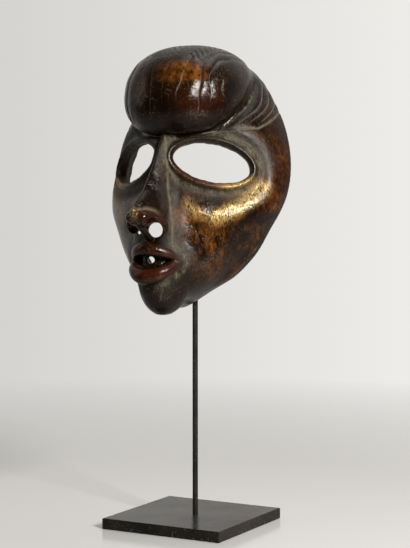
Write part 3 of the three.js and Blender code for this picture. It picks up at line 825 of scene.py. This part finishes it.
woodValues = {
    "dark": (0.0016, 0.0011, 0.0008),
    "brown": (0.0075, 0.0031, 0.0014),
    "amber": (0.27, 0.088, 0.008),
    "rust": (0.10, 0.027, 0.0045),
    "gold": (0.58, 0.40, 0.155),
    "red": (0.038, 0.0080, 0.0030),
    # pale dust, also used for the painted highlight line at the back edge of the jaw
    "dustAndHighlight": (0.125, 0.104, 0.061),
    "rawWood": (0.10, 0.056, 0.029),
    "shine": (0.06, 0.21),  # roughness of the polished skin, smoothest and dullest
    "wornAndHighlightRoughness": 0.17,
    "dullRoughness": 0.6,
    "dustAndHighlightRoughness": 0.8,
    "insideRoughness": 0.62,
    "specular": 0.3,
    # the painted highlight on the nose tip shines like metal too
    "goldMetal": 0.55,  # how much the worn cheek shines like metal
    "strokes": 0.35,  # how strongly the fine pale scratches show
    "eyeRows": 20,  # fine lines round the eyes, over the row counter's whole span
}


def woodPatterns(tree):
    place = objectPlace(tree)
    slant = (0.0, 0.7, 0.5)
    return SimpleNamespace(
        broad=noise(tree, place, 24, 4),
        patches=noise(tree, place, 60, 4, 0.6),
        middle=noise(tree, place, 130, 4, 0.55),
        fine=noise(tree, place, 900, 4, 0.6),
        swirls=noise(tree, objectPlace(tree, (170, 150, 80), slant), 1.0, 4, 0.6, 1.4),
        flecks=noise(tree, objectPlace(tree, (700, 620, 380), slant), 1.0, 5, 0.75),
        streaks=noise(tree, objectPlace(tree, (330, 330, 70)), 1.0, 4, 0.6, 0.6),
        scratches=noise(tree, objectPlace(tree, (260, 1900, 420), (0.35, 0.5, 0.6)), 1.0, 3, 0.6),
        crossed=noise(tree, objectPlace(tree, (1500, 300, 260), (0.2, 0.9, 0.3)), 1.0, 3, 0.6),
        grain=noise(tree, objectPlace(tree, (700, 700, 45)), 1.0, 4, 0.6))


def hairLines(tree, p):
    strands = combine(tree, "MULTIPLY", thinLines(tree, "strand", 0.05),
                      spread(tree, p.flecks, 0.4, 0.55, 0.1, 0.7))
    zigzags, crownCuts = thinLines(tree, "zigzag", 0.09), thinLines(tree, "crown", 0.09)
    lines = combineAll(tree, "MAXIMUM", strands, zigzags, crownCuts)
    return combine(tree, "MULTIPLY", lines, spread(tree, p.patches, 0.38, 0.55, 0.35, 1.0))


# dust, fine pale lines and scratches, and the painted highlight line at the jaw's back edge
def dustAndHighlightShare(tree, p, lines):
    dustAndHighlightMarks = brokenMark(tree, "dustAndHighlight", (p.middle, 0.36, 0.58, 0.2, 1.0), (p.flecks, 0.42, 0.53, 0.1, 1.15),
                       (p.crossed, 0.38, 0.52, 0.45, 1.0), (p.swirls, 0.36, 0.58, 0.35, 1.35))
    packed = brokenMark(tree, "packed", (p.middle, 0.36, 0.52, 0.35, 1.0))
    inHair = combine(tree, "MULTIPLY", lines, 0.9)
    eyeLines = thinLines(tree, "eye", 0.3, woodValues["eyeRows"])
    eyeLines = combine(tree, "MULTIPLY", eyeLines, spread(tree, p.crossed, 0.42, 0.55))
    outer = combine(tree, "SUBTRACT", woodValues["strokes"], mark(tree, "inside"))
    strokes = combineAll(tree, "MULTIPLY", spread(tree, p.scratches, 0.58, 0.66),
                         spread(tree, p.patches, 0.42, 0.6), outer)
    return combineAll(tree, "MAXIMUM", dustAndHighlightMarks, packed, inHair, eyeLines, strokes)


def woodColour(tree, p, wornAndHighlight, dustAndHighlight):
    v = woodValues
    colour = mixColour(tree, spread(tree, p.broad, 0.35, 0.68), v["dark"], v["brown"])
    red = brokenMark(tree, "red", (p.middle, 0.3, 0.65, 0.35, 1.0))
    colour = mixColour(tree, red, colour, v["red"])
    amber = brokenMark(tree, "amber", (p.patches, 0.36, 0.6, 0.05, 1.0), (p.flecks, 0.42, 0.56, 0.3, 1.0),
                       (p.swirls, 0.38, 0.56, 0.1, 1.0))
    glow = brokenMark(tree, "glow", (p.streaks, 0.36, 0.56, 0.12, 1.0))
    warm = mixColour(tree, spread(tree, p.middle, 0.38, 0.6), v["rust"], v["amber"])
    colour = mixColour(tree, combine(tree, "MAXIMUM", amber, glow), colour, warm)
    # worn gold, and the painted highlight on the nose tip
    colour = mixColour(tree, wornAndHighlight, colour, v["gold"])
    # dust, and the painted highlight line along the jaw's back edge
    colour = mixColour(tree, dustAndHighlight, colour, v["dustAndHighlight"])
    # painted shade: near black on the band at the back of the jaw
    colour = mixColour(tree, mark(tree, "strip"), colour, v["dark"])
    raw = mixColour(tree, spread(tree, p.grain, 0.3, 0.7), v["brown"], v["rawWood"])
    return mixColour(tree, mark(tree, "inside"), colour, raw)


def woodRoughness(tree, p, dustAndHighlight):
    v = woodValues
    rough = spread(tree, p.middle, 0.3, 0.7, *v["shine"])
    rough = mixValue(tree, mark(tree, "wornAndHighlight"), rough, v["wornAndHighlightRoughness"])
    dull = brokenMark(tree, "dull", (p.swirls, 0.38, 0.5, 0.7, 1.0))
    rough = mixValue(tree, dull, rough, v["dullRoughness"])
    rough = mixValue(tree, dustAndHighlight, rough, v["dustAndHighlightRoughness"])
    return mixValue(tree, mark(tree, "inside"), rough, v["insideRoughness"])


def woodBumps(tree, p, lines):
    normal = bump(tree, p.patches, 0.34, 0.0030)
    normal = bump(tree, p.middle, 0.22, 0.0016, normal)
    normal = bump(tree, p.scratches, 0.5, 0.0004, normal)
    normal = bump(tree, combine(tree, "MULTIPLY", p.swirls, mark(tree, "wornAndHighlight")), 0.5, 0.0012, normal)
    normal = bump(tree, p.fine, 0.2, 0.0002, normal)
    return bump(tree, combine(tree, "SUBTRACT", 1.0, lines), 0.6, 0.0005, normal)


def polishedWood():
    material, tree, shader = newMaterial("polishedWood")
    p = woodPatterns(tree)
    lines = hairLines(tree, p)
    dustAndHighlight = dustAndHighlightShare(tree, p, lines)
    wornAndHighlight = brokenMark(tree, "wornAndHighlight", (p.scratches, 0.4, 0.52, 0.05, 1.0), (p.crossed, 0.38, 0.5, 0.2, 1.0),
                      (p.patches, 0.3, 0.5, 0.35, 1.0))
    feedAll(tree, shader, {
        "Base Color": woodColour(tree, p, wornAndHighlight, dustAndHighlight),
        "Metallic": combine(tree, "MULTIPLY", wornAndHighlight, woodValues["goldMetal"]),
        "Roughness": woodRoughness(tree, p, dustAndHighlight),
        "Normal": woodBumps(tree, p, lines),
        "Specular IOR Level": woodValues["specular"]})
    return material


mask.data.materials.append(polishedWood())
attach(mask, "root")
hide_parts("mask")
print("mask finished")

# colours that the rod and the plinth share
steelValues = {
    "rust": (0.10, 0.035, 0.012),
    "paleSpeck": (0.13, 0.11, 0.085),
    "rustySpeck": (0.20, 0.07, 0.025),
    "edgeBand": 1.2,  # width of the band along an edge where the specks set in
    "specular": 0.3,
}


# worn black steel, from a piece's own values, with small specks that gather near its edges
def blackSteel(name, v):
    material, tree, shader = newMaterial(name)
    place = objectPlace(tree)
    split = newNode(tree, "SeparateXYZ")
    tree.links.new(place, split.inputs["Vector"])
    offX, offY = [combine(tree, "ABSOLUTE", split.outputs[axis]) for axis in "XY"]
    edgeStart = (v["edgeAt"] - steelValues["edgeBand"]) * millimetre
    edge = spread(tree, combine(tree, "MAXIMUM", offX, offY), edgeStart, v["edgeAt"] * millimetre)
    broad = noise(tree, place, 25, 5, 0.6)
    fine = noise(tree, place, 900, 3, 0.6)
    rust = spread(tree, noise(tree, place, 160, 4, 0.7), 0.66, 0.74)
    colour = mixColour(tree, spread(tree, broad, 0.35, 0.7), v["dark"], v["light"])
    colour = mixColour(tree, combine(tree, "MULTIPLY", rust, 0.35), colour, steelValues["rust"])
    specks = spread(tree, noise(tree, place, 480, 3, 0.6), 0.62, 0.655)
    nearFloor = spread(tree, split.outputs["Z"], 0.0012, 0.004, 0.9, 0.3)
    specks = combineAll(tree, "MULTIPLY", specks, edge, nearFloor)
    speckRust = spread(tree, broad, 0.48, 0.58)
    speckColour = mixColour(tree, speckRust, steelValues["paleSpeck"], steelValues["rustySpeck"])
    colour = mixColour(tree, specks, colour, speckColour)
    feedAll(tree, shader, {
        "Base Color": colour,
        "Roughness": spread(tree, broad, 0.3, 0.7, v["roughness"] - 0.08, v["roughness"] + 0.1),
        "Normal": bump(tree, fine, 0.3, 0.0002),
        "Specular IOR Level": steelValues["specular"]})
    return material


# the rod is swept along its path by geometry nodes
rodValues = {
    "radius": 2.5,
    "y": 5.0,
    "foot": 2.3,
    "bend": 11.0,
    "height": 290.0,
    "tip": -66.0,
    "bendPoints": 12,  # steps in the bend
    "roundPoints": 24,  # sides of the round
    "dark": (0.007, 0.0065, 0.006),
    "light": (0.02, 0.018, 0.016),
    "roughness": 0.36,
    "edgeAt": 1.2,  # how far off the middle line the specks are thickest
}


# the tree, and the identifiers of its radius and bend inputs
def sweptRod(v):
    tree = bpy.data.node_groups.new("sweptRod", "GeometryNodeTree")
    sockets = (("Geometry", "INPUT", "Geometry"), ("Geometry", "OUTPUT", "Geometry"),
               ("Radius", "INPUT", "Float"), ("Bend", "INPUT", "Float"))
    radius, bend = [tree.interface.new_socket(name, in_out=way, socket_type="NodeSocket" + kind)
                    for name, way, kind in sockets][2:]
    start, end = tree.nodes.new("NodeGroupInput"), tree.nodes.new("NodeGroupOutput")
    kinds = ("MeshToCurve", "FilletCurve", "CurvePrimitiveCircle", "CurveToMesh", "SetShadeSmooth",
             "RealizeInstances", "SetMaterial")
    toCurve, fillet, profile, sweep, smooth, realize, paint = [
        tree.nodes.new("GeometryNode" + kind) for kind in kinds]
    fillet.mode = "POLY"
    fillet.inputs["Count"].default_value = v["bendPoints"]
    profile.inputs["Resolution"].default_value = v["roundPoints"]
    sweep.inputs["Fill Caps"].default_value = True
    paint.inputs["Material"].default_value = blackSteel("rodSteel", v)
    joins = [
        (start, "Geometry", toCurve, "Mesh"),
        (toCurve, "Curve", fillet, "Curve"),
        (start, "Bend", fillet, "Radius"),
        (start, "Radius", profile, "Radius"),
        (fillet, "Curve", sweep, "Curve"),
        (profile, "Curve", sweep, "Profile Curve"),
        (sweep, "Mesh", smooth, "Geometry"),
        (smooth, "Geometry", realize, "Geometry"),
        (realize, "Geometry", paint, "Geometry"),
        (paint, "Geometry", end, "Geometry"),
    ]
    for source, output, target, socket in joins:
        tree.links.new(source.outputs[output], target.inputs[socket])
    return tree, radius.identifier, bend.identifier


def makeRod():
    v = rodValues
    path = [(0, v["y"], v["foot"]), (0, v["y"], v["height"]), (0, v["tip"], v["height"])]
    mesh = bpy.data.meshes.new("rodPath")
    mesh.from_pydata([[c * millimetre for c in p] for p in path], [(0, 1), (1, 2)], [])
    carrier = addToScene("rodPath", mesh)
    modifier = carrier.modifiers.new("sweptRod", "NODES")
    modifier.node_group, radiusInput, bendInput = sweptRod(v)
    modifier[radiusInput] = v["radius"] * millimetre
    modifier[bendInput] = v["bend"] * millimetre
    evaluated = carrier.evaluated_get(bpy.context.evaluated_depsgraph_get())
    made = addToScene("steelRod", bpy.data.meshes.new_from_object(evaluated))
    bpy.data.objects.remove(carrier)
    print("rod:", len(made.data.polygons), "faces")
    return made


rod = makeRod()
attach(rod, "root")
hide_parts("rod")

# the plinth is a thick plate with small chips along its edges
plinthValues = {
    "side": 120.0,
    "height": 10.0,
    "edge": 0.7,
    "seat": 2.8,
    "seatFoot": 2.0,
    "pointsPerSide": 120,
    "chips": 26,
    "chipWidth": (0.6, 2.2),  # least and most, in points along the edge
    "chipDepth": (0.15, 0.9),
    "seed": 7,
    "dark": (0.003, 0.003, 0.003),
    "light": (0.016, 0.013, 0.010),
    "roughness": 0.2,
    "edgeAt": 59.2,  # how far off the middle line the specks are thickest
}


# how deep the chips are round the lower and the upper edge
def edgeChips(v, count):
    random = np.random.default_rng(v["seed"])
    chips = np.zeros((2, count))
    for row in (0, 1):
        for _ in range(v["chips"]):
            middle = random.integers(count)
            width = random.uniform(*v["chipWidth"])
            depth = random.uniform(*v["chipDepth"])
            away = np.abs((np.arange(count) - middle + count / 2) % count - count / 2)
            chips[row] = np.maximum(chips[row], depth * np.exp(-(away / width) ** 2))
    return chips


def squareOutline(half, perSide):
    along = np.linspace(-half, half, perSide, endpoint=False)
    ones = np.ones(perSide) * half
    return np.concatenate([
        np.stack([along, -ones], 1), np.stack([ones, along], 1),
        np.stack([-along, ones], 1), np.stack([-ones, -along], 1)])


# rings of points from the foot up over both rounded edges, then in to the rod's seat and down it
def plinthRings(v):
    half = v["side"] / 2
    outline = squareOutline(half, v["pointsPerSide"])
    count = len(outline)
    inward = -np.sign(outline) * (np.abs(outline) > half - 1e-6)
    lowEdge, topEdge = v["edge"] + edgeChips(v, count)
    rings = []
    for edge, level, degrees in ((lowEdge, 0, (0, 45, 90)), (topEdge, v["height"], (90, 45, 0))):
        for angle in np.radians(degrees):
            inset = edge * (1 - math.sin(angle))
            height = np.abs(level - edge * (1 - math.cos(angle)))
            rings.append(np.column_stack([outline + inward * inset[:, None], height]))
    around = np.arctan2(outline[:, 1], outline[:, 0])
    circle = np.stack([np.cos(around), np.sin(around)], 1) * v["seat"] + (0, rodValues["y"])
    for height in (v["height"], v["seatFoot"]):
        rings.append(np.column_stack([circle, np.full(count, height)]))
    return rings


def makePlinth():
    v = plinthValues
    rings = plinthRings(v)
    count = len(rings[0])
    points = np.concatenate(rings + [[[0, rodValues["y"], v["seatFoot"]], [0, 0, 0]]])
    here = np.arange(count)
    after = (here + 1) % count
    quads = []
    for ring in range(len(rings) - 1):
        a, b = ring * count, (ring + 1) * count
        quads += np.stack([a + here, a + after, b + after, b + here], 1).tolist()
    seatMiddle, footMiddle = len(points) - 2, len(points) - 1
    last = (len(rings) - 1) * count
    caps = [[last + i, last + j, seatMiddle] for i, j in zip(here, after)]
    caps += [[j, i, footMiddle] for i, j in zip(here, after)]
    mesh = bpy.data.meshes.new("steelPlinth")
    mesh.from_pydata((points * millimetre).tolist(), [], quads + caps)
    mesh.update()
    mesh.materials.append(blackSteel("plinthSteel", v))
    return addToScene("steelPlinth", mesh)


plinth = makePlinth()
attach(plinth, "root")
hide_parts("plinth")
print("stand finished")

# floor, light and camera, in metres and degrees
stageValues = {
    "floorHalf": 3.0,
    "floorColour": (0.67, 0.675, 0.68),
    "floorRoughness": 0.16,
    "floorSpecular": 0.75,
    "floorFade": (0.35, 1.1),  # where the floor starts and ends to fade, from the plinth
    "floorInGloss": 0.5,  # how bright the floor is when mirrored in the polish
    "leftBackground": (0.665, 0.655, 0.63),
    "rightBackground": (0.845, 0.835, 0.805),
    "worldColour": (1.0, 0.965, 0.91),
    "worldFront": 0.02,
    "worldBack": 0.58,
    "azimuth": 28.97,
    "distance": 1.4709,
    "height": 0.3153,
    "aside": 0.0114,
    "tilt": -3.32,
    "lens": 106.2,
}

# azimuth, elevation, distance, size, power and colour
lightValues = {
    "keySoftbox": (61, 22.5, 1.9, (0.37, 0.43), 62, (1.0, 0.96, 0.89)),
    "leftPanel": (-62, 20, 2.2, (0.5, 1.4), 2.5, (1.0, 0.93, 0.84)),
    "topPanel": (150, 70, 1.8, (1.4, 1.0), 9, (1.0, 1.0, 1.0)),
}


def makeFloor():
    v = stageValues
    size = v["floorHalf"]
    mesh = bpy.data.meshes.new("floor")
    corners = [(-size, -size, 0), (size, -size, 0), (size, size, 0), (-size, size, 0)]
    mesh.from_pydata(corners, [], [(0, 1, 2, 3)])
    material, tree, shader = newMaterial("paleFloor")
    path = newNode(tree, "LightPath")
    pale = v["floorColour"]
    dim = tuple(c * v["floorInGloss"] for c in pale)
    length = newNode(tree, "VectorMath")
    length.operation = "LENGTH"
    tree.links.new(objectPlace(tree), length.inputs[0])
    feedAll(tree, shader, {
        "Base Color": mixColour(tree, path.outputs["Is Glossy Ray"], pale, dim),
        "Roughness": v["floorRoughness"],
        "Specular IOR Level": v["floorSpecular"],
        "Alpha": spread(tree, length.outputs["Value"], *v["floorFade"], 1.0, 0.0)})
    mesh.materials.append(material)
    return addToScene("floor", mesh)


# a panel light turned toward the middle of the mask and its rod
def addLight(name, azimuth, elevation, distance, size, power, colour):
    data = bpy.data.lights.new(name, "AREA")
    data.shape = "RECTANGLE"
    data.size, data.size_y = size
    data.energy = power
    data.color = colour
    light = addToScene(name, data)
    a, e = math.radians(azimuth), math.radians(elevation)
    target = Vector((0, 0, 0.3))
    back = Vector((math.sin(a) * math.cos(e), -math.cos(a) * math.cos(e), math.sin(e)))
    light.location = target + back * distance
    light.rotation_mode = "QUATERNION"
    light.rotation_quaternion = (-back).to_track_quat("-Z", "Y")
    light.visible_camera = False
    return light


# a pale wall behind, lighter to the right, and room light that comes mostly from behind
def makeWorld():
    v = stageValues
    world = bpy.data.worlds.new("paleStudio")
    bpy.context.scene.world = world
    world.use_nodes = True
    tree = world.node_tree
    shown = tree.nodes["Background"]
    lit = newNode(tree, "Background")
    place = newNode(tree, "TexCoord")
    split = newNode(tree, "SeparateXYZ")
    turned = newNode(tree, "VectorRotate")
    path = newNode(tree, "LightPath")
    either = newNode(tree, "MixShader")
    feedAll(tree, turned, {"Vector": place.outputs["Generated"], "Angle": -math.radians(v["azimuth"])})
    tree.links.new(turned.outputs["Vector"], split.inputs["Vector"])
    across = spread(tree, split.outputs["X"], -0.12, 0.12)
    wall = mixColour(tree, across, v["leftBackground"], v["rightBackground"])
    strength = spread(tree, split.outputs["Y"], -0.15, 0.85, v["worldFront"], v["worldBack"])
    feedAll(tree, shown, {"Color": wall, "Strength": 1.0})
    feedAll(tree, lit, {"Color": (*v["worldColour"], 1), "Strength": strength})
    feedAll(tree, either, {"Fac": path.outputs["Is Camera Ray"], 1: lit.outputs["Background"],
                           2: shown.outputs["Background"]})
    tree.links.new(either.outputs["Shader"], tree.nodes["World Output"].inputs["Surface"])


def makeCamera():
    v = stageValues
    a = math.radians(v["azimuth"])
    data = bpy.data.cameras.new("photoCamera")
    data.lens = v["lens"]
    data.sensor_width = 36
    data.sensor_fit = "AUTO"
    camera = addToScene("photoCamera", data)
    camera.location = (math.sin(a) * v["distance"] + math.cos(a) * v["aside"],
                       -math.cos(a) * v["distance"] + math.sin(a) * v["aside"], v["height"])
    camera.rotation_euler = (math.radians(90 + v["tilt"]), 0, a)
    bpy.context.scene.camera = camera


floor = makeFloor()
lights = [addLight(name, *values) for name, values in lightValues.items()]
makeWorld()
makeCamera()
bpy.context.scene.view_settings.view_transform = "Standard"
print("stage finished")

print("scene finished")
